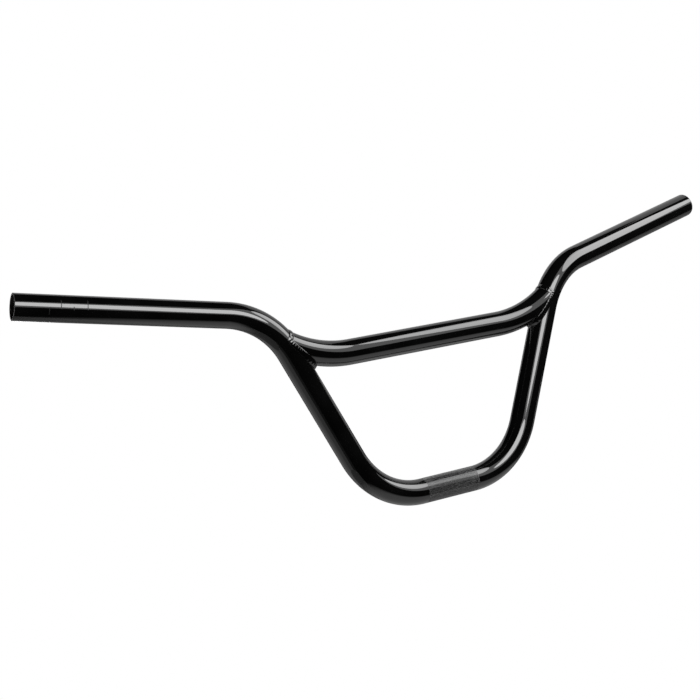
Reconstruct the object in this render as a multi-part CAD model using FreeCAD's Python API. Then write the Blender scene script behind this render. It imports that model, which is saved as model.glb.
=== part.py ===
"""Steel freestyle bicycle handlebar, welded up from two bent tubes.

The main tube runs from grip to grip through the stem clamp in the middle. A crossbar of the same
tube ties its two legs together, and one weld bead at each end of the crossbar holds it there.

Frame: the origin is the centre of the stem clamp, X runs along the clamp, Z is up and Y points
back towards the rider. Left and right are as seen from the front, looking along +Y. The bar is
the same on both sides of X = 0, so points and pieces are worked out on the right and mirrored.
"""

import FreeCAD
import Part
import math
import os

# Driving dimensions, in millimetres and degrees
TUBE_OD = 22.2
TUBE_WALL = 1.6
BAR_WIDTH = 711.2
END_CHAMFER = 0.4

CLAMP_STRAIGHT = 55.7
LOWER_BEND_RADIUS = 70.0
LEG_ANGLE = 65.67
UPPER_CORNER_HEIGHT = 172.5
UPPER_BEND_RADIUS = 70.0
UPSWEEP = 11.0
BACKSWEEP = 8.75

KNURL_TEETH = 96
KNURL_DEPTH = 0.3
KNURL_MARGIN = 0.8
KNURL_GROOVE_SHARE = 0.6

CROSSBAR_WALL = 1.2
CROSSBAR_JOINT_DROP = 25.5
CROSSBAR_DIP = 17.7
CROSSBAR_BEND_RADIUS = 117.0

WELD_ROOT_GAP = 0.3
WELD_LEG = 2.4
WELD_CROTCH_EXTRA = 2.6
WELD_FLATNESS = 4.5
WELD_SEAT_GAP = 0.1

# How finely a weld bead is traced: places round its seam, points over its crown, search steps
SEAM_POINTS = 72
CROWN_POINTS = 4
SEAM_HALVINGS = 30

Vector = FreeCAD.Vector
ORIGIN = Vector(0, 0, 0)
X_AXIS = Vector(1, 0, 0)
Y_AXIS = Vector(0, 1, 0)

tube_radius = TUBE_OD / 2


def direction(upward, backward):
    """Unit vector to the right, turned up and back by two angles in degrees."""
    up = math.radians(upward)
    back = math.radians(backward)
    return Vector(math.cos(up) * math.cos(back), math.cos(up) * math.sin(back), math.sin(up))


# Corners of the main tube's axis, before its bends are rounded
leg_direction = direction(LEG_ANGLE, 0)
grip_direction = direction(UPSWEEP, BACKSWEEP)
lower_tangent = LOWER_BEND_RADIUS * math.tan(math.radians(LEG_ANGLE) / 2)
lower_corner = Vector(CLAMP_STRAIGHT / 2 + lower_tangent, 0, 0)
upper_corner = lower_corner + leg_direction * (UPPER_CORNER_HEIGHT / leg_direction.z)
grip_end = upper_corner + grip_direction * ((BAR_WIDTH / 2 - upper_corner.x) / grip_direction.x)

# Crossbar axis: a level middle, and one arc that climbs from there to the joint on the leg
joint = upper_corner - leg_direction * CROSSBAR_JOINT_DROP
climb_angle = math.acos(1 - CROSSBAR_DIP / CROSSBAR_BEND_RADIUS)
climb_start = joint - Vector(CROSSBAR_BEND_RADIUS * math.sin(climb_angle), 0, CROSSBAR_DIP)


def rounded_path(corners, radii):
    """Wire of straight runs through the corners, with a tangent arc at each inner corner."""
    edges = []
    start = corners[0]
    for before, corner, after, radius in zip(corners, corners[1:], corners[2:], radii):
        inward = (corner - before).normalize()
        outward = (after - corner).normalize()
        turn = inward.getAngle(outward)
        tangent = radius * math.tan(turn / 2)
        first = corner - inward * tangent
        last = corner + outward * tangent
        to_centre = (outward - inward).normalize()
        middle = corner + to_centre * (radius / math.cos(turn / 2) - radius)
        edges.append(Part.LineSegment(start, first).toShape())
        edges.append(Part.Arc(first, middle, last).toShape())
        start = last
    edges.append(Part.LineSegment(start, corners[-1]).toShape())
    return Part.Wire(edges)


def main_axis():
    """Axis of the main tube's right half, from the middle of the clamp to the open end."""
    corners = [ORIGIN, lower_corner, upper_corner, grip_end]
    return rounded_path(corners, [LOWER_BEND_RADIUS, UPPER_BEND_RADIUS])


def climb_point(angle):
    """Point of the crossbar's axis where it climbs at this angle."""
    return climb_start + Vector(math.sin(angle), 0, 1 - math.cos(angle)) * CROSSBAR_BEND_RADIUS


def crossbar_axis():
    """Axis of the crossbar's right half, from its middle on through the leg."""
    middle = Vector(0, 0, climb_start.z)
    run_on = joint + direction(math.degrees(climb_angle), 0) * tube_radius
    return Part.Wire([
        Part.LineSegment(middle, climb_start).toShape(),
        Part.Arc(climb_start, climb_point(climb_angle / 2), joint).toShape(),
        Part.LineSegment(joint, run_on).toShape(),
    ])


def rod(axis, radius):
    """Solid round bar along an axis that starts along +X.

    The section starts at its bottom, so that the seam in the bar's skin stays clear of the joint.
    """
    start = axis.Vertexes[0].Point
    section = Part.makeCircle(radius, start, X_AXIS)
    section.rotate(start, X_AXIS, 180)
    return axis.makePipeShell([Part.Wire([section])], True, False)


def both_halves(half):
    """One solid from a right half that ends flat at X = 0 and its mirror image."""
    return half.fuse(half.mirror(ORIGIN, X_AXIS)).removeSplitter().Solids[0]


def largest(shape):
    """The largest solid of a shape, without the offcuts."""
    return max(shape.Solids, key=lambda solid: solid.Volume)


def rim_edges(half):
    """The two round edges of a half tube's open end."""
    return [edge for edge in half.Edges
            if edge.Curve.TypeId == "Part::GeomCircle"
            and edge.Curve.Center.isEqual(grip_end, END_CHAMFER)]


def knurl_grooves():
    """Straight grooves round the clamp, with lands of the full tube size between them."""
    length = CLAMP_STRAIGHT - 2 * KNURL_MARGIN
    pitch = 360 / KNURL_TEETH
    half_angle = math.radians(pitch * KNURL_GROOVE_SHARE / 2)
    # A groove's sides spread from its root through the edges of its lands, to twice its depth
    half_mouth = 2 * tube_radius * math.sin(half_angle)
    root = Vector(-length / 2, 0, tube_radius - KNURL_DEPTH)
    mouth_front = Vector(-length / 2, -half_mouth, tube_radius + KNURL_DEPTH)
    mouth_back = Vector(-length / 2, half_mouth, tube_radius + KNURL_DEPTH)
    outline = Part.makePolygon([root, mouth_front, mouth_back, root])
    groove = Part.Face(outline).extrude(X_AXIS * length)
    grooves = []
    for tooth in range(KNURL_TEETH):
        turned = groove.copy()
        turned.rotate(ORIGIN, X_AXIS, (tooth + 0.5) * pitch)
        grooves.append(turned)
    return Part.makeCompound(grooves)


def main_tube(axis):
    """Bent main tube with broken rims and a knurled clamp."""
    half = rod(axis, tube_radius).cut(rod(axis, tube_radius - TUBE_WALL))
    half = half.makeChamfer(min(END_CHAMFER, TUBE_WALL / 3), rim_edges(half))
    return both_halves(half).cut(knurl_grooves()).Solids[0]


def crossbar(axis, crossbar_run):
    """Bent crossbar, notched at both ends to sit the root gap away from the main tube."""
    notch = rod(axis, tube_radius + WELD_ROOT_GAP)
    half = largest(rod(crossbar_run, tube_radius).cut(notch))
    return both_halves(half.cut(rod(crossbar_run, tube_radius - CROSSBAR_WALL)))


def outward_from(axis, point):
    """Unit vector from the nearest place on an axis to a point, with the distance between them."""
    distance, pairs, _ = Part.Vertex(point).distToShape(axis)
    return (point - pairs[0][1]).normalize(), distance


def seated(axis, point):
    """The point moved onto the skin of the tube round an axis, clear of it by the seat gap."""
    outward, distance = outward_from(axis, point)
    return point + outward * (tube_radius + WELD_SEAT_GAP - distance)


def seam_point(around, axis):
    """Point of the right-hand seam, on the crossbar's skin and the root gap from the main tube."""
    near = climb_angle
    far = 0.0
    for _ in range(SEAM_HALVINGS):
        angle = (near + far) / 2
        upward = Vector(-math.sin(angle), 0, math.cos(angle))
        outward = upward * math.cos(around) + Y_AXIS * math.sin(around)
        point = climb_point(angle) + outward * tube_radius
        if outward_from(axis, point)[1] < tube_radius + WELD_ROOT_GAP:
            near = angle
        else:
            far = angle
    return point


def bead_outline(point, along, axis, crossbar_run):
    """Corners of the bead's section at a seam point: over the crown, then back under both legs."""
    main_out = outward_from(axis, point)[0]
    crossbar_out = outward_from(crossbar_run, point)[0]
    main_way = along.cross(main_out)
    crossbar_way = crossbar_out.cross(along)
    outward = (main_out + crossbar_out).normalize()
    half_turn = main_out.getAngle(crossbar_out) / 2
    # The bead is larger where the skins meet at a steep angle, in the crotch under the crossbar
    leg = WELD_LEG + WELD_CROTCH_EXTRA * math.sin(half_turn) ** 2
    half_chord = leg * math.cos(half_turn)
    rise = leg * math.sin(half_turn)
    crown_radius = leg + WELD_FLATNESS
    half_arc = math.asin(half_chord / crown_radius)
    centre = point + outward * (rise - crown_radius * math.cos(half_arc))
    sideways = (main_way - crossbar_way).normalize()
    crown = []
    for step in range(1, CROWN_POINTS + 1):
        angle = half_arc * (1 - 2 * step / (CROWN_POINTS + 1))
        crown.append(centre + (sideways * math.sin(angle) + outward * math.cos(angle)) * crown_radius)
    return [
        seated(axis, point + main_way * leg),
        *crown,
        seated(crossbar_run, point + crossbar_way * leg),
        seated(crossbar_run, point + crossbar_way * (leg / 2)),
        point + outward * (WELD_SEAT_GAP / math.cos(half_turn)),
        seated(axis, point + main_way * (leg / 2)),
    ]


def weld_bead(axis, crossbar_run):
    """Right-hand weld bead: a closed ring of facets in the corner between the two skins."""
    points = [seam_point(2 * math.pi * index / SEAM_POINTS, axis) for index in range(SEAM_POINTS)]
    outlines = []
    for index, point in enumerate(points):
        along = (points[(index + 1) % SEAM_POINTS] - points[index - 1]).normalize()
        outlines.append(bead_outline(point, along, axis, crossbar_run))
    facets = []
    for index, outline in enumerate(outlines):
        before = outlines[index - 1]
        for corner in range(len(outline)):
            for facet in ((before[corner - 1], before[corner], outline[corner]),
                          (before[corner - 1], outline[corner], outline[corner - 1])):
                facets.append(Part.Face(Part.makePolygon(facet + facet[:1])))
    bead = Part.Solid(Part.Shell(facets))
    bead.fix(0, 0, 0)
    return bead


def build():
    """Every piece of the bar by its name."""
    axis = main_axis()
    crossbar_run = crossbar_axis()
    bead = weld_bead(axis, crossbar_run)
    return {
        "main_tube": main_tube(axis),
        "crossbar": crossbar(axis, crossbar_run),
        "weld_bead_left": bead.mirror(ORIGIN, X_AXIS),
        "weld_bead_right": bead,
    }


os.makedirs("parts", exist_ok=True)
for name, shape in build().items():
    shape.exportStep("parts/" + name + ".step")
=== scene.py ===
"""Looks of a gloss black steel bicycle handlebar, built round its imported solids.

Units are metres, in the frame of the solids: the origin is the centre of the stem clamp, X runs
along the clamp, Z is up and Y points back towards the rider. Round a tube, angles are measured
from its top towards its front. The bar is worked out on the right and mirrored to the left.
"""

import math

import bmesh
import bpy
import numpy as np
from mathutils import Matrix, Quaternion, Vector


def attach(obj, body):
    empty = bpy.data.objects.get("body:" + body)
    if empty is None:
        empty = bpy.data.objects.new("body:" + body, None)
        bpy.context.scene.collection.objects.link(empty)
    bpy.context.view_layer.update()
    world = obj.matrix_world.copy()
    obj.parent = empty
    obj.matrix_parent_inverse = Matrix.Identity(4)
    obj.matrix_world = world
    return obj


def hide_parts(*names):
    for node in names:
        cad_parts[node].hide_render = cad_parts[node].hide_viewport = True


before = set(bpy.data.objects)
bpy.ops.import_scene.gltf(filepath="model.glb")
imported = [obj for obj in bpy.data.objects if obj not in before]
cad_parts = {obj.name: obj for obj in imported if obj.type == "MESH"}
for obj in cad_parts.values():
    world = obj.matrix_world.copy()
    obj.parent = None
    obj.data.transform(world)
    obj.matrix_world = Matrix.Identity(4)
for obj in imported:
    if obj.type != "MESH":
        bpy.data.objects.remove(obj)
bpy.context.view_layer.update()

# Sizes of the bar, the same as those of its solids
TUBE_RADIUS = 0.0111
TUBE_WALL = 0.0016
BAR_WIDTH = 0.7112
RIM_ROUNDING = 0.0004
CLAMP_STRAIGHT = 0.0557
LOWER_BEND_RADIUS = 0.070
LEG_ANGLE = math.radians(65.67)
UPPER_CORNER_HEIGHT = 0.1725
UPPER_BEND_RADIUS = 0.070
UPSWEEP = math.radians(11.0)
BACKSWEEP = math.radians(8.75)
KNURL_TEETH = 96
KNURL_DEPTH = 0.0003
KNURL_MARGIN = 0.0008
KNURL_GROOVE_SHARE = 0.6
CROSSBAR_WALL = 0.0012
CROSSBAR_JOINT_DROP = 0.0255
CROSSBAR_DIP = 0.0177
CROSSBAR_BEND_RADIUS = 0.117
WELD_ROOT_GAP = 0.0003
WELD_LEG = 0.0024
WELD_CROTCH_EXTRA = 0.0026
WELD_FLATNESS = 0.0045

# Detail that only the looks have
KNURL_RUNOUT = 0.0004
KNURL_SHOULDER = 0.0003
GROOVE_SHARPNESS = 3
MARK_HALF_WIDTH = 0.0004
MARK_DEPTH = 0.00004
# Etched trim marks on the left grip: distance from the end, middle and half of the arc it covers
TRIM_MARKS = [(0.0272, math.radians(112), math.radians(14)),
              (0.0364, math.radians(78), math.radians(18)),
              (0.0464, math.radians(96), math.radians(8)),
              (0.0574, math.radians(78), math.radians(20))]
RIPPLES = 34
RIPPLE_HEIGHT = 0.00013
RIPPLE_CRESCENT = 0.45
# Two ways in which ripples stray from even spacing: by a part of a ripple, in waves round the bead
SLOW_STRAY = 0.3
SLOW_WAVES = 5
QUICK_STRAY = 0.2
QUICK_WAVES = 11

# Fineness of the meshes
SEGMENTS = 192
BORE_SEGMENTS = 48
RUN_STEP = 0.010
BEND_STEP = math.radians(1.0)
BORE_BEND_STEP = math.radians(3.0)
FINE_BEND_STEP = math.radians(0.25)
GRIP_STEPS = 14
LAST_PLAIN_RING = 1.5 * RIM_ROUNDING
RIM_STEPS = 4
KNURL_POINTS = 16
CLIMB_STEPS = 44
BORE_CLIMB_STEPS = 16
SEAM_POINTS = 528
CROWN_STEPS = 12
HALVINGS = 26
# Rings beside a trim mark, in half widths of the mark from its middle
MARK_RINGS = (-1.5, -1, -0.5, 0, 0.5, 1, 1.5)

# Camera of the photograph, for a square picture
CAMERA_AZIMUTH = math.radians(-31.05)
CAMERA_ELEVATION = math.radians(2.95)
CAMERA_ROLL = math.radians(-8.89)
CAMERA_DISTANCE = 1.33535
CAMERA_TARGET = Vector((-0.07786, 0.00015, 0.13304))
SENSOR_WIDTH = 36.0
FOCAL_LENGTH = 80.52

# Softboxes round the bar, with their angles in degrees
SOFTBOXES = [dict(name="softbox_right", shape="ELLIPSE", azimuth=122.8, elevation=32.2, roll=0.7,
                  distance=0.963, width=0.60, height=0.70, radiance=2.35),
             dict(name="softbox_front", shape="ELLIPSE", azimuth=174.2, elevation=24.2, roll=-3.4,
                  distance=1.883, width=1.48, height=0.97, radiance=3.6),
             dict(name="softbox_wide", shape="RECTANGLE", azimuth=158.2, elevation=26.4, roll=10.5,
                  distance=2.20, width=4.0, height=1.67, radiance=0.63),
             dict(name="softbox_left", shape="RECTANGLE", azimuth=268.0, elevation=0.0, roll=0.0,
                  distance=2.00, width=1.90, height=0.60, radiance=1.2),
             dict(name="softbox_back", shape="RECTANGLE", azimuth=344.0, elevation=-3.0, roll=0.0,
                  distance=2.00, width=2.00, height=0.46, radiance=3.4)]
SOFTBOX_AIM = Vector((0, 0, 0.1))
# Watts of a lamp for each square metre and unit of radiance
WATTS_PER_RADIANCE = 4
# Tent round the bar: name, azimuths, elevations and how much of the white world comes through
TENT = [("curtain_front", (92, 226), (-90, 90), 0.0),
        ("curtain_left", (226, 354), (-13, 90), 0.0),
        ("curtain_top", (-6, 92), (50.5, 90), 0.0),
        ("curtain_low", (-6, 92), (-13, 5.5), 0.0),
        ("scrim", (-6, 92), (5.5, 50.5), 0.37),
        ("scrim_low", (-134, 92), (-90, -46), 0.15),
        ("scrim_right", (-10, 92), (-46, -13), 0.16),
        ("scrim_left", (-72, -10), (-46, -13), 0.35),
        ("scrim_corner", (-112, -72), (-46, -13), 0.24),
        ("scrim_front", (-134, -112), (-46, -13), 0.05)]
TENT_DISTANCE = 5.0
TENT_STEPS = 24
WORLD_AMBIENT = 0.4
FLOOR_MIDDLE = Vector((0.35, 0, -0.55))
FLOOR_RADIUS = 0.75
FLOOR_FADE_START = 0.4
FLOOR_CORNERS = 64
FLOOR_LIFT = 0.85
FLOOR_SCRIM_GAP = 0.01
FLOOR_SCRIM_OPENNESS = 0.42

X_AXIS = Vector((1, 0, 0))
Z_AXIS = Vector((0, 0, 1))
FRONT = Vector((0, -1, 0))

# Between which values a noise shades from its low colour to its high one
NOISE_RANGE = (0.35, 0.65)

# Which finish a ring of points or a face wears, as its number among a mesh's materials
PAINT = 0
KNURL = 1
BORE = 2
MARK = 3
RIM = 4


def heading(upward, backward):
    """Unit vector to the right, turned up and back by two angles."""
    level = math.cos(upward)
    return Vector((level * math.cos(backward), level * math.sin(backward), math.sin(upward)))


# Corners of the main tube's axis, and the crossbar's climb to its joint
leg_heading = heading(LEG_ANGLE, 0)
grip_heading = heading(UPSWEEP, BACKSWEEP)
lower_corner = Vector((CLAMP_STRAIGHT / 2 + LOWER_BEND_RADIUS * math.tan(LEG_ANGLE / 2), 0, 0))
upper_corner = lower_corner + leg_heading * (UPPER_CORNER_HEIGHT / leg_heading.z)
grip_end = upper_corner + grip_heading * ((BAR_WIDTH / 2 - upper_corner.x) / grip_heading.x)
knurl_half = CLAMP_STRAIGHT / 2 - KNURL_MARGIN
joint = upper_corner - leg_heading * CROSSBAR_JOINT_DROP
climb_angle = math.acos(1 - CROSSBAR_DIP / CROSSBAR_BEND_RADIUS)
climb_start = joint - Vector((CROSSBAR_BEND_RADIUS * math.sin(climb_angle), 0, CROSSBAR_DIP))


def around(count):
    """Angles of the points of a ring."""
    return [2 * math.pi * index / count for index in range(count)]


around_tube = around(SEGMENTS)
around_bore = around(BORE_SEGMENTS)


def mirrored(ring):
    """The same ring of points on the left half of the bar."""
    return [Vector((-point.x, point.y, point.z)) for point in ring]


def straight_run(start, end):
    """Places along a straight run without its end, each a point and a direction."""
    count = max(1, round((end - start).length / RUN_STEP))
    along = (end - start).normalized()
    return [(start.lerp(end, index / count), along) for index in range(count)]


def bent_axis(corners, radii, bend_step):
    """Places along straight runs that tangent arcs join at the inner corners."""
    places = []
    start = corners[0]
    for before, corner, after, radius in zip(corners, corners[1:], corners[2:], radii):
        inward = (corner - before).normalized()
        outward = (after - corner).normalized()
        turn = inward.angle(outward)
        tangent = radius * math.tan(turn / 2)
        first = corner - inward * tangent
        centre = corner + (outward - inward).normalized() * (radius / math.cos(turn / 2))
        places += straight_run(start, first)
        steps = math.ceil(turn / bend_step)
        for step in range(steps):
            rotation = Quaternion(inward.cross(outward), turn * step / steps)
            places.append((centre + rotation @ (first - centre), rotation @ inward))
        start = corner + outward * tangent
    places += straight_run(start, corners[-1])
    return places


def with_frames(places):
    """Each place's point with the tube's top and front there, carried along without a twist."""
    framed = []
    top = Z_AXIS.copy()
    front = FRONT.copy()
    before = X_AXIS
    for point, along in places:
        turn = before.rotation_difference(along)
        top = turn @ top
        front = turn @ front
        before = along
        framed.append((point, top, front))
    return framed


def ring_at(place, angles, radii):
    """Ring of points round a place, each at its own angle and radius."""
    point, top, front = place
    return [point + (top * math.cos(angle) + front * math.sin(angle)) * radius
            for angle, radius in zip(angles, radii)]


def skin_ring(place, radius):
    """Round ring of the fineness that a tube's skin has."""
    return ring_at(place, around_tube, [radius] * SEGMENTS)


def ring_faces(first, second):
    """Faces between two rings of vertices, of which one may be several times as fine."""
    if len(first) > len(second):
        return ring_faces(second, first)
    count = len(first)
    ratio = len(second) // count
    faces = []
    for index in range(count):
        here = first[index]
        there = first[(index + 1) % count]
        fine = [second[(index * ratio + step) % len(second)] for step in range(ratio + 1)]
        if ratio == 1:
            faces.append((here, there, fine[1], fine[0]))
            continue
        for step in range(ratio):
            corner = here if step < ratio // 2 else there
            faces.append((corner, fine[step], fine[step + 1]))
        faces.append((here, there, fine[ratio // 2]))
    return faces


def closed_skin(name, rings, materials):
    """Mesh object skinned over rings of points, the last joined to the first.

    Each ring comes with the number of its finish. Faces between two finishes wear the lower one.
    """
    mesh_data = bmesh.new()
    corner_rings = [[mesh_data.verts.new(point) for point in ring] for ring, _ in rings]
    for index, (_, finish) in enumerate(rings):
        face_finish = min(finish, rings[index - 1][1])
        for corners in ring_faces(corner_rings[index - 1], corner_rings[index]):
            face = mesh_data.faces.new(corners)
            face.material_index = face_finish
            face.smooth = True
    bmesh.ops.recalc_face_normals(mesh_data, faces=mesh_data.faces[:])
    mesh = bpy.data.meshes.new(name)
    mesh_data.to_mesh(mesh)
    mesh_data.free()
    for material in materials:
        mesh.materials.append(material)
    piece = bpy.data.objects.new(name, mesh)
    bpy.context.scene.collection.objects.link(piece)
    return piece


def mark_depth(distance, angle):
    """Depth of the trim marks at a distance from the tube's end and an angle round it."""
    depth = 0.0
    for place, middle, half_arc in TRIM_MARKS:
        across = abs(distance - place) / MARK_HALF_WIDTH
        turn = abs(math.remainder(angle - middle, 2 * math.pi))
        if across < 1 and turn < half_arc:
            depth = MARK_DEPTH * (1 - across)
    return depth


def etch_marks(piece, top, front):
    """Gives the faces of the trim marks on the left grip their dull finish."""
    for face in piece.data.polygons:
        from_end = mirrored([face.center])[0] - grip_end
        angle = math.atan2(from_end.dot(front), from_end.dot(top))
        if mark_depth(-from_end.dot(grip_heading), angle) > 0:
            face.material_index = MARK


def grip_distances(length):
    """Distances of a grip's rings from its end, with extra ones beside the marks and the rim."""
    distances = {length * step / GRIP_STEPS for step in range(1, GRIP_STEPS)}
    for place, _, _ in TRIM_MARKS:
        for across in MARK_RINGS:
            distances.add(place + across * MARK_HALF_WIDTH)
    distances.add(LAST_PLAIN_RING)
    return sorted(distances, reverse=True)


def rim_profile():
    """Rounded rim of an open end, as distances from the end and radii, from skin to bore."""
    profile = []
    bore_radius = TUBE_RADIUS - TUBE_WALL
    for step in range(RIM_STEPS + 1):
        angle = math.pi / 2 * step / RIM_STEPS
        profile.append((RIM_ROUNDING * (1 - math.sin(angle)),
                        TUBE_RADIUS - RIM_ROUNDING * (1 - math.cos(angle))))
    for step in range(RIM_STEPS + 1):
        angle = math.pi / 2 * step / RIM_STEPS
        profile.append((RIM_ROUNDING * (1 - math.cos(angle)),
                        bore_radius + RIM_ROUNDING * (1 - math.sin(angle))))
    return profile


def main_axis(start, bend_step):
    """Places along the main tube's right half, from a point on the clamp to the open end."""
    corners = [start, lower_corner, upper_corner, grip_end]
    return bent_axis(corners, [LOWER_BEND_RADIUS, UPPER_BEND_RADIUS], bend_step)


def groove_depth(share):
    """Depth of the rounded groove at a share of the way from one tooth's middle to the next."""
    across = abs(share - 0.5) / (KNURL_GROOVE_SHARE / 2)
    return KNURL_DEPTH * ((1 + math.cos(math.pi * min(across, 1))) / 2) ** GROOVE_SHARPNESS


def knurl_rings():
    """Rings of the knurled clamp from left to right, with sloping ends to its grooves."""
    count = KNURL_TEETH * KNURL_POINTS
    angles = around(count)
    depths = [groove_depth(index % KNURL_POINTS / KNURL_POINTS) for index in range(count)]
    full = knurl_half - KNURL_RUNOUT
    rings = []
    for x, depth in ((-knurl_half, 0), (-full, 1), (-full / 2, 1), (0, 1), (full / 2, 1), (full, 1),
                     (knurl_half, 0)):
        radii = [TUBE_RADIUS - groove * depth for groove in depths]
        rings.append((ring_at((X_AXIS * x, Z_AXIS, FRONT), angles, radii), KNURL))
    return rings


def main_tube(materials):
    """Bent main tube with a knurled clamp, a marked left grip, rounded rims and a bore through it."""
    start = X_AXIS * (knurl_half + KNURL_SHOULDER)
    places = with_frames(main_axis(start, BEND_STEP))
    upper_tangent = UPPER_BEND_RADIUS * math.tan(leg_heading.angle(grip_heading) / 2)
    grip_length = (grip_end - upper_corner).length - upper_tangent
    # The grips have rings of their own, so the axis's places go only as far as the grip's start
    reach = grip_length - RUN_STEP / 2
    bends = [place for place in places if (place[0] - grip_end).length > reach]
    _, top, front = places[-1]
    right = [(skin_ring(place, TUBE_RADIUS), PAINT) for place in bends]
    left = right.copy()
    for distance in grip_distances(grip_length):
        place = (grip_end - grip_heading * distance, top, front)
        radii = [TUBE_RADIUS - mark_depth(distance, angle) for angle in around_tube]
        right.append((skin_ring(place, TUBE_RADIUS), PAINT))
        left.append((ring_at(place, around_tube, radii), PAINT))
    for distance, radius in rim_profile():
        rim_ring = skin_ring((grip_end - grip_heading * distance, top, front), radius)
        right.append((rim_ring, RIM))
        left.append((rim_ring, RIM))
    bore_radii = [TUBE_RADIUS - TUBE_WALL] * BORE_SEGMENTS
    inner = [ring_at(place, around_bore, bore_radii)
             for place in with_frames(main_axis(Vector(), BORE_BEND_STEP))]
    rings = [(mirrored(ring), finish) for ring, finish in reversed(left)]
    rings += knurl_rings()
    rings += right
    rings += [(ring, BORE) for ring in reversed(inner)]
    rings += [(mirrored(ring), BORE) for ring in inner[1:]]
    piece = closed_skin("main_tube_fine", rings, materials)
    etch_marks(piece, top, front)
    return piece


fine_axis = np.array([point for point, _ in main_axis(Vector(), FINE_BEND_STEP)] + [grip_end])


def from_main_axis(point):
    """Vector to a point from the nearest place on the right half of the main tube's axis."""
    starts = fine_axis[:-1]
    steps = fine_axis[1:] - starts
    reach = np.array(point) - starts
    share = np.clip((reach * steps).sum(1) / (steps * steps).sum(1), 0, 1)
    offsets = reach - steps * share[:, None]
    return Vector(offsets[np.argmin((offsets * offsets).sum(1))])


def crossbar_point(climb, angle, radius):
    """Point of the crossbar's climb at an angle round it, with its direction from the axis."""
    climbed = Vector((math.sin(climb), 0, 1 - math.cos(climb))) * CROSSBAR_BEND_RADIUS
    top = Vector((-math.sin(climb), 0, math.cos(climb)))
    outward = top * math.cos(angle) + FRONT * math.sin(angle)
    return climb_start + climbed + outward * radius, outward


def notch_climb(angle, radius):
    """How far up its climb a line along the crossbar goes before it meets the notch."""
    near = climb_angle
    far = 0.0
    for _ in range(HALVINGS):
        climb = (near + far) / 2
        gap = from_main_axis(crossbar_point(climb, angle, radius)[0]).length
        if gap < TUBE_RADIUS + WELD_ROOT_GAP:
            near = climb
        else:
            far = climb
    return far


def crossbar_rings(radius, angles, climb_steps):
    """Rings of the crossbar's right half, which lean along the climb until they fit the notch."""
    middle = Vector((0, 0, climb_start.z))
    radii = [radius] * len(angles)
    rings = [ring_at((point, Z_AXIS, FRONT), angles, radii)
             for point, _ in straight_run(middle, climb_start)]
    ends = [notch_climb(angle, radius) for angle in angles]
    for step in range(climb_steps + 1):
        share = step / climb_steps
        rings.append([crossbar_point(end * share, angle, radius)[0]
                      for angle, end in zip(angles, ends)])
    return rings


def crossbar(materials):
    """Bent crossbar, hollow and notched at both ends to sit against the legs."""
    outer = crossbar_rings(TUBE_RADIUS, around_tube, CLIMB_STEPS)
    inner = crossbar_rings(TUBE_RADIUS - CROSSBAR_WALL, around_bore, BORE_CLIMB_STEPS)
    rings = [(mirrored(ring), PAINT) for ring in reversed(outer)]
    rings += [(ring, PAINT) for ring in outer[1:]]
    rings += [(ring, BORE) for ring in reversed(inner)]
    rings += [(mirrored(ring), BORE) for ring in inner[1:]]
    return closed_skin("crossbar_fine", rings, materials)


def on_main_skin(point):
    """The point moved onto the main tube's skin."""
    offset = from_main_axis(point)
    return point + offset.normalized() * (TUBE_RADIUS - offset.length)


def weld_ripple(turn, across, side):
    """Height of the weld's ripples, from 0 to 1, at a share of the way round the bead.

    Across the bead, places run from -1 at one toe to 1 at the other. The side is -1 or 1, and it
    shifts the slow waves so that the two beads differ.
    """
    angle = 2 * math.pi * turn
    slow = SLOW_STRAY * math.sin(SLOW_WAVES * angle + side)
    quick = QUICK_STRAY * math.sin(QUICK_WAVES * angle)
    phase = RIPPLES * turn + slow + quick + RIPPLE_CRESCENT * across * across
    return math.sin(math.pi * phase) ** 2


def bead_ring(turn, point, along, crossbar_out, side):
    """Section of the weld bead at a place on its seam: over the crown and back to the seam."""
    main_out = from_main_axis(point).normalized()
    outward = (main_out + crossbar_out).normalized()
    leg = WELD_LEG + WELD_CROTCH_EXTRA * math.sin(main_out.angle(crossbar_out) / 2) ** 2
    main_toe = on_main_skin(point + along.cross(main_out) * leg)
    crossbar_toe = point + crossbar_out.cross(along) * leg
    half_chord = (crossbar_toe - main_toe).length / 2
    crown_radius = leg + WELD_FLATNESS
    crown = crown_radius - math.sqrt(crown_radius ** 2 - half_chord ** 2)
    ring = []
    for step in range(CROWN_STEPS + 1):
        across = 2 * step / CROWN_STEPS - 1
        bulge = 1 - across * across
        ripple = RIPPLE_HEIGHT * (weld_ripple(turn, across, side) - 0.5)
        base = main_toe.lerp(crossbar_toe, step / CROWN_STEPS)
        ring.append(base + outward * (bulge * (crown + ripple)))
    ring.append(point)
    return ring


def weld_bead(name, side, materials):
    """Weld bead round one end of the crossbar, on the left where side is -1."""
    seam = [crossbar_point(notch_climb(angle, TUBE_RADIUS), angle, TUBE_RADIUS)
            for angle in around(SEAM_POINTS)]
    lengths = [(seam[index][0] - seam[index - 1][0]).length for index in range(SEAM_POINTS)]
    seam_length = sum(lengths)
    rings = []
    travelled = 0.0
    for index, (point, crossbar_out) in enumerate(seam):
        travelled += lengths[index]
        along = (seam[index - 1][0] - seam[(index + 1) % SEAM_POINTS][0]).normalized()
        ring = bead_ring(travelled / seam_length, point, along, crossbar_out, side)
        rings.append((ring if side > 0 else mirrored(ring), PAINT))
    return closed_skin(name, rings, materials)


def grey(level):
    """Colour without a hue."""
    return (level, level, level)


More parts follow.
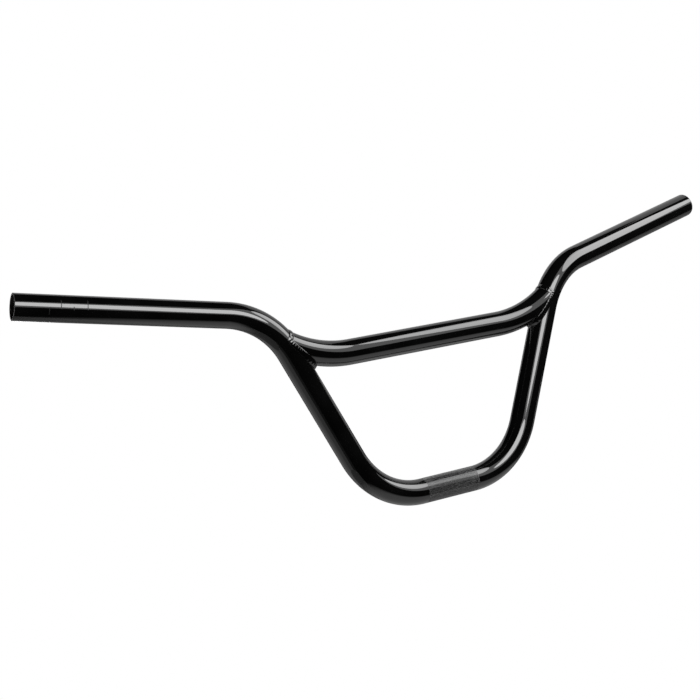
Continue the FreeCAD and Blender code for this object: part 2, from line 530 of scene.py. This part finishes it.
class Finish:
    """Node material that is put together step by step round its principled shader."""

    def __init__(self, name):
        self.material = bpy.data.materials.new(name)
        self.material.use_nodes = True
        self.nodes = self.material.node_tree.nodes
        self.links = self.material.node_tree.links
        self.shader = self.nodes["Principled BSDF"]
        self.surface = self.nodes["Material Output"].inputs["Surface"]
        self.coordinates = self.nodes.new("ShaderNodeTexCoord").outputs["Object"]

    def fix(self, socket, value):
        """Gives a socket of the shader one value all over."""
        self.shader.inputs[socket].default_value = value

    def noise(self, scale, detail):
        """Noise over the object's own coordinates, in waves to the metre."""
        node = self.nodes.new("ShaderNodeTexNoise")
        node.inputs["Scale"].default_value = scale
        node.inputs["Detail"].default_value = detail
        self.links.new(self.coordinates, node.inputs["Vector"])
        return node.outputs["Fac"]

    def shade(self, socket, noise, low, high):
        """Lets a noise take a socket of the shader from its low colour to its high one."""
        node = self.nodes.new("ShaderNodeValToRGB")
        for element, position, colour in zip(node.color_ramp.elements, NOISE_RANGE, (low, high)):
            element.position = position
            element.color = (*colour, 1)
        self.links.new(noise, node.inputs["Fac"])
        self.links.new(node.outputs["Color"], self.shader.inputs[socket])

    def bump(self, height, distance, under=None):
        """Gives the shader a bump over the one under it, where a height of 1 stands for a distance."""
        node = self.nodes.new("ShaderNodeBump")
        node.inputs["Strength"].default_value = 1.0
        node.inputs["Distance"].default_value = distance
        self.links.new(height, node.inputs["Height"])
        if under is not None:
            self.links.new(under, node.inputs["Normal"])
        self.links.new(node.outputs["Normal"], self.shader.inputs["Normal"])
        return node.outputs["Normal"]

    def lacquer(self):
        """Hard gloss coat over the paint."""
        self.fix("IOR", 1.6)
        self.fix("Coat Weight", 1.0)
        self.fix("Coat IOR", 1.5)
        self.fix("Coat Roughness", 0.03)


def dust_nibs(finish, scale, reach):
    """Height of round nibs, one in each of so many cells to the metre, with a reach in cell widths."""
    dust = finish.nodes.new("ShaderNodeTexVoronoi")
    dust.inputs["Scale"].default_value = scale
    finish.links.new(finish.coordinates, dust.inputs["Vector"])
    nib = finish.nodes.new("ShaderNodeMapRange")
    nib.interpolation_type = "SMOOTHSTEP"
    nib.inputs["From Min"].default_value = reach
    nib.inputs["From Max"].default_value = 0.0
    finish.links.new(dust.outputs["Distance"], nib.inputs["Value"])
    return nib.outputs["Result"]


def gloss_paint():
    """Sprayed gloss black: faint orange peel, a slightly wavy tube under it and a few dust nibs."""
    paint = Finish("gloss_black_paint")
    paint.shade("Base Color", paint.noise(scale=38, detail=4), low=grey(0.002), high=grey(0.004))
    paint.shade("Roughness", paint.noise(scale=90, detail=6), low=grey(0.03), high=grey(0.06))
    waves = paint.bump(paint.noise(scale=45, detail=1), distance=2.5e-5)
    peel = paint.bump(paint.noise(scale=800, detail=2), distance=3.0e-6, under=waves)
    paint.bump(dust_nibs(paint, scale=95, reach=0.045), distance=4.0e-5, under=peel)
    paint.lacquer()
    return paint.material


def knurl_paint():
    """The same paint over the knurl, where it runs a little dull between the teeth."""
    paint = Finish("knurl_paint")
    cloud = paint.noise(scale=60, detail=3)
    paint.shade("Base Color", cloud, low=grey(0.012), high=grey(0.022))
    paint.shade("Roughness", cloud, low=grey(0.06), high=grey(0.10))
    paint.lacquer()
    return paint.material


def etched_mark():
    """Paint dulled by etching."""
    mark = Finish("etched_mark")
    grain = mark.noise(scale=3000, detail=3)
    mark.shade("Base Color", grain, low=grey(0.008), high=grey(0.03))
    mark.shade("Roughness", grain, low=grey(0.22), high=grey(0.4))
    return mark.material


def sawn_edge():
    """Thin dull paint over the sawn edge of an open end."""
    edge = Finish("sawn_edge_paint")
    grain = edge.noise(scale=900, detail=3)
    edge.shade("Base Color", grain, low=grey(0.05), high=grey(0.09))
    edge.shade("Roughness", grain, low=grey(0.5), high=grey(0.65))
    edge.fix("Specular IOR Level", 0.15)
    return edge.material


def bore_steel():
    """Bare drawn steel inside the tubes, dull and dark with overspray."""
    steel = Finish("bore_steel")
    cloud = steel.noise(scale=120, detail=6)
    steel.shade("Base Color", cloud, low=(0.02, 0.019, 0.018), high=(0.09, 0.085, 0.08))
    steel.shade("Roughness", cloud, low=grey(0.62), high=grey(0.45))
    steel.bump(cloud, distance=6.0e-5)
    steel.fix("Metallic", 0.6)
    return steel.material


def direction_at(azimuth, elevation):
    """Unit vector by compass degrees, from +Y behind the bar towards +X, and degrees of height."""
    turn = math.radians(azimuth)
    rise = math.radians(elevation)
    level = math.cos(rise)
    return Vector((math.sin(turn) * level, math.cos(turn) * level, math.sin(rise)))


def softbox(name, shape, azimuth, elevation, roll, distance, width, height, radiance):
    """Flat lamp that faces the middle of the bar."""
    lamp = bpy.data.lights.new(name, "AREA")
    lamp.shape = shape
    lamp.size = width
    lamp.size_y = height
    filled = math.pi / 4 if shape == "ELLIPSE" else 1
    lamp.energy = WATTS_PER_RADIANCE * radiance * filled * width * height
    holder = bpy.data.objects.new(name, lamp)
    towards = direction_at(azimuth, elevation)
    holder.location = SOFTBOX_AIM + towards * distance
    turn = towards.to_track_quat("Z", "Y") @ Quaternion(Z_AXIS, math.radians(roll))
    holder.rotation_euler = turn.to_euler()
    holder.visible_camera = False
    bpy.context.scene.collection.objects.link(holder)


def seen_directly(nodes, links):
    """One where a ray comes from the camera, a mirror or glass, and nought for stray light."""
    path = nodes.new("ShaderNodeLightPath")
    seen = path.outputs["Is Camera Ray"]
    for output in ("Is Glossy Ray", "Is Transmission Ray"):
        either = nodes.new("ShaderNodeMath")
        either.operation = "MAXIMUM"
        links.new(seen, either.inputs[0])
        links.new(path.outputs[output], either.inputs[1])
        seen = either.outputs["Value"]
    return seen


def white_world():
    """World that looks white, and lights the bar with only a part of that."""
    world = bpy.data.worlds.new("white_world")
    world.use_nodes = True
    nodes = world.node_tree.nodes
    links = world.node_tree.links
    nodes.clear()
    output = nodes.new("ShaderNodeOutputWorld")
    mix = nodes.new("ShaderNodeMixShader")
    links.new(seen_directly(nodes, links), mix.inputs[0])
    for socket, strength in ((1, WORLD_AMBIENT), (2, 1.0)):
        background = nodes.new("ShaderNodeBackground")
        background.inputs["Color"].default_value = (1, 1, 1, 1)
        background.inputs["Strength"].default_value = strength
        links.new(background.outputs["Background"], mix.inputs[socket])
    links.new(mix.outputs["Shader"], output.inputs["Surface"])
    bpy.context.scene.world = world


def stage_mesh(name, corners, faces, material):
    """Object of the set, which is no part of the bar."""
    mesh = bpy.data.meshes.new(name)
    mesh.from_pydata([tuple(corner) for corner in corners], [], faces)
    mesh.materials.append(material)
    thing = bpy.data.objects.new(name, mesh)
    bpy.context.scene.collection.objects.link(thing)
    return thing


def fade_out(finish, clear_share):
    """Makes a round sheet's finish clear towards its edge, and by a share in its middle."""
    length = finish.nodes.new("ShaderNodeVectorMath")
    length.operation = "LENGTH"
    finish.links.new(finish.coordinates, length.inputs[0])
    fade = finish.nodes.new("ShaderNodeMapRange")
    fade.interpolation_type = "SMOOTHSTEP"
    fade.inputs["From Min"].default_value = FLOOR_FADE_START
    fade.inputs["From Max"].default_value = FLOOR_RADIUS
    fade.inputs["To Min"].default_value = clear_share
    finish.links.new(length.outputs["Value"], fade.inputs["Value"])
    clear = finish.nodes.new("ShaderNodeBsdfTransparent")
    faded = finish.nodes.new("ShaderNodeMixShader")
    finish.links.new(fade.outputs["Result"], faded.inputs[0])
    finish.links.new(finish.surface.links[0].from_socket, faded.inputs[1])
    finish.links.new(clear.outputs["BSDF"], faded.inputs[2])
    finish.links.new(faded.outputs["Shader"], finish.surface)


def floor_paper():
    """Pale paper that keeps the bar's shadow."""
    paper = Finish("floor_paper")
    paper.shade("Base Color", paper.noise(scale=30, detail=3), low=grey(0.86), high=grey(0.9))
    paper.fix("Roughness", 0.9)
    paper.fix("Specular IOR Level", 0.0)
    lift = paper.nodes.new("ShaderNodeMath")
    lift.operation = "MULTIPLY"
    lift.inputs[1].default_value = FLOOR_LIFT
    paper.links.new(seen_directly(paper.nodes, paper.links), lift.inputs[0])
    white = paper.nodes.new("ShaderNodeEmission")
    lifted = paper.nodes.new("ShaderNodeMixShader")
    paper.links.new(lift.outputs["Value"], lifted.inputs[0])
    paper.links.new(paper.shader.outputs["BSDF"], lifted.inputs[1])
    paper.links.new(white.outputs["Emission"], lifted.inputs[2])
    paper.links.new(lifted.outputs["Shader"], paper.surface)
    fade_out(paper, clear_share=0.0)
    return paper.material


def dark_cloth(name):
    """Dull black cloth."""
    cloth = Finish(name)
    cloth.shade("Base Color", cloth.noise(scale=4, detail=3), low=grey(0.02), high=grey(0.05))
    cloth.fix("Roughness", 0.95)
    cloth.fix("Specular IOR Level", 0.0)
    return cloth


def floor_cloth():
    """Open dark cloth over the floor, which the bar's gloss sees the paper through."""
    cloth = dark_cloth("floor_cloth")
    fade_out(cloth, FLOOR_SCRIM_OPENNESS)
    return cloth.material


def tent_cloth(name, openness):
    """Dark cloth of the tent, woven openly where it lets some of the white world through."""
    cloth = dark_cloth(name)
    cloth.fix("Alpha", 1 - openness)
    return cloth.material


def round_sheet(name, material, lift):
    """Round sheet of the floor, well below the bar and out of the photograph's frame."""
    corners = [(FLOOR_RADIUS * math.cos(turn), FLOOR_RADIUS * math.sin(turn), 0)
               for turn in around(FLOOR_CORNERS)]
    sheet = stage_mesh(name, corners, [tuple(range(FLOOR_CORNERS))], material)
    sheet.location = FLOOR_MIDDLE + Z_AXIS * lift
    return sheet


def studio_floor():
    """Pale floor, and a cloth over it that only the gloss of the bar sees."""
    round_sheet("floor", floor_paper(), 0)
    cloth = round_sheet("floor_scrim", floor_cloth(), FLOOR_SCRIM_GAP)
    cloth.visible_camera = False
    cloth.visible_diffuse = False
    cloth.visible_shadow = False


def curtain(name, azimuths, elevations, openness):
    """Part of a dark tent round the bar, which the camera looks through."""
    points = TENT_STEPS + 1
    corners = []
    faces = []
    for row in range(points):
        elevation = elevations[0] + (elevations[1] - elevations[0]) * row / TENT_STEPS
        for column in range(points):
            azimuth = azimuths[0] + (azimuths[1] - azimuths[0]) * column / TENT_STEPS
            corners.append(direction_at(azimuth, elevation) * TENT_DISTANCE)
    for row in range(TENT_STEPS):
        for column in range(TENT_STEPS):
            corner = row * points + column
            faces.append((corner, corner + 1, corner + points + 1, corner + points))
    stage_mesh(name, corners, faces, tent_cloth(name, openness)).visible_camera = False


def studio():
    """Plain studio: pale floor, white surroundings, softboxes and a dark tent."""
    white_world()
    studio_floor()
    for curtain_values in TENT:
        curtain(*curtain_values)
    for softbox_values in SOFTBOXES:
        softbox(**softbox_values)


def photo_camera():
    """Camera with the photograph's angle, roll, distance and lens."""
    level = math.cos(CAMERA_ELEVATION)
    forward = Vector((-math.sin(CAMERA_AZIMUTH) * level, math.cos(CAMERA_AZIMUTH) * level,
                      -math.sin(CAMERA_ELEVATION)))
    level_right = forward.cross(Z_AXIS).normalized()
    level_up = level_right.cross(forward)
    right = level_right * math.cos(CAMERA_ROLL) + level_up * math.sin(CAMERA_ROLL)
    up = right.cross(forward)
    camera = bpy.data.cameras.new("camera")
    camera.sensor_width = SENSOR_WIDTH
    camera.lens = FOCAL_LENGTH
    holder = bpy.data.objects.new("camera", camera)
    turn = Matrix((right, up, -forward)).transposed().to_4x4()
    holder.matrix_world = Matrix.Translation(CAMERA_TARGET - forward * CAMERA_DISTANCE) @ turn
    bpy.context.scene.collection.objects.link(holder)
    bpy.context.scene.camera = holder


def dress(piece, node):
    """Puts a fine piece in the place of its solid."""
    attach(piece, "root")
    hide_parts(node)


# The finishes in the order of their numbers
finishes = [gloss_paint(), knurl_paint(), bore_steel(), etched_mark(), sawn_edge()]
dress(main_tube(finishes), "main_tube")
dress(crossbar(finishes), "crossbar")
dress(weld_bead("weld_left_fine", -1, finishes), "weld_bead_left")
dress(weld_bead("weld_right_fine", 1, finishes), "weld_bead_right")
studio()
photo_camera()
bpy.context.scene.view_settings.view_transform = "Standard"
